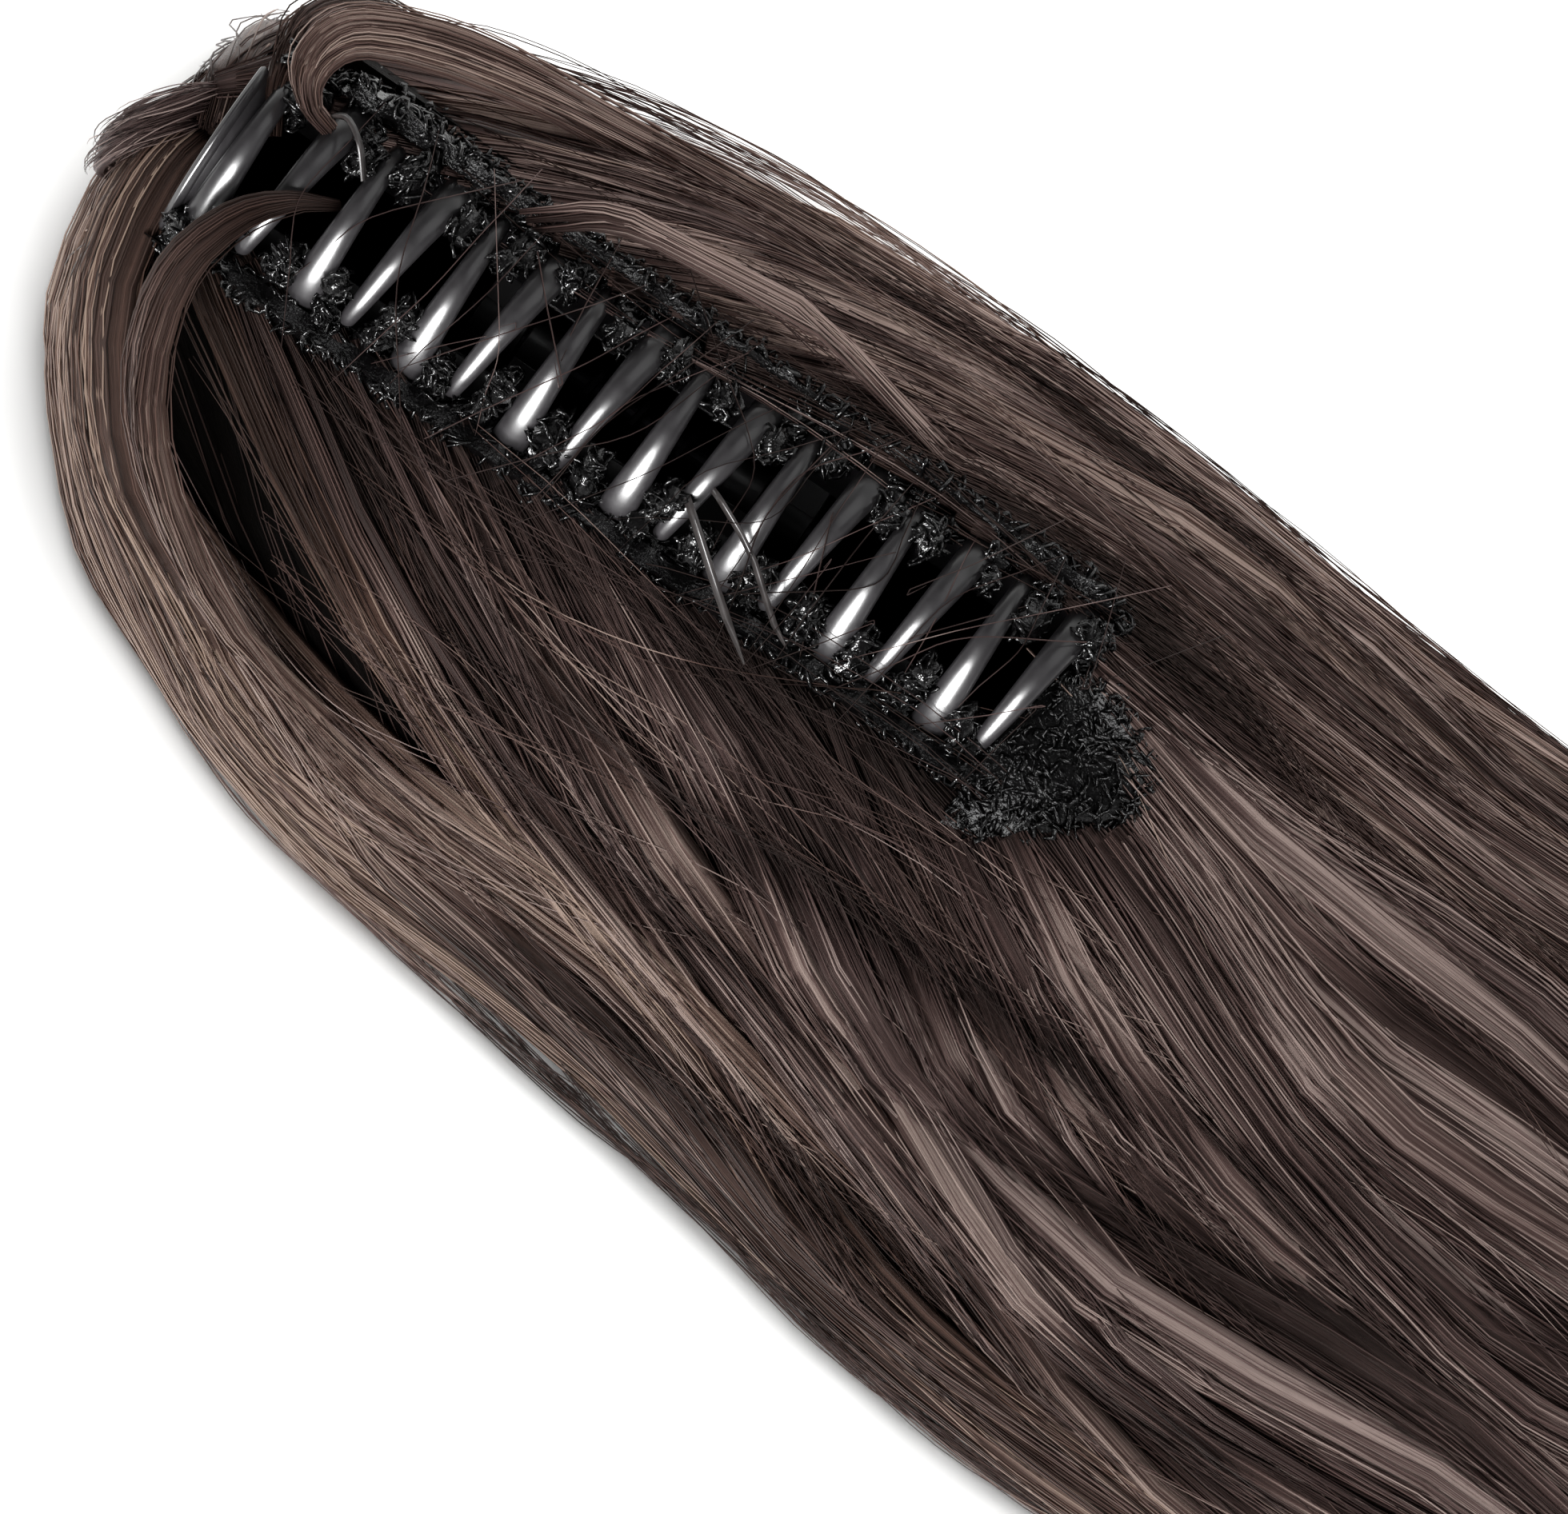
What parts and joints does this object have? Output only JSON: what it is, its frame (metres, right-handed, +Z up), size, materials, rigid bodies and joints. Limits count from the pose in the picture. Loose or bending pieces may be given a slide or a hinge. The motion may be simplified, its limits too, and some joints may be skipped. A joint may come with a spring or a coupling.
{
  "type": "claw-clip ponytail hairpiece",
  "caption": "Ponytail hairpiece on a sprung two-jaw hair claw, lying mouth up, with knotted wefts round the jaws and a long wavy tail of hair.",
  "frame": {"origin": "centre of the box round the whole piece, on the surface that it lies on; the claw's centre is at x 0.01195, y 0.1227", "axes": "+Y along the claw's hinge towards the crown end, away from the tail; +X across the claw towards the right jaw, which moves; +Z up out of the mouth"},
  "size_m": [0.0981, 0.357, 0.0484],
  "materials": {
    "claw": "glossy black moulded plastic",
    "steel": "plain drawn steel",
    "weft": "black knotted thread",
    "hair": "dark brown synthetic hair with a soft sheen"
  },
  "bodies": {
    "left_half": {"jaw_left": "claw", "hinge_pin": "steel", "hinge_spring": "steel", "weft_left": "weft", "weft_end": "weft", "hair_left": "hair", "hair_tail": "hair"},
    "right_half": {"jaw_right": "claw", "weft_right": "weft", "hair_right": "hair"}
  },
  "joints": [
    {"name": "claw_hinge", "type": "hinge", "parent": "left_half", "child": "right_half", "pos_m": [0.01195, 0.1227, 0.02], "axis": [0, 1, 0], "range_deg": [0, 40], "stiffness_Nm_per_rad": 0.15, "springref_deg": -20.05}
  ]
}
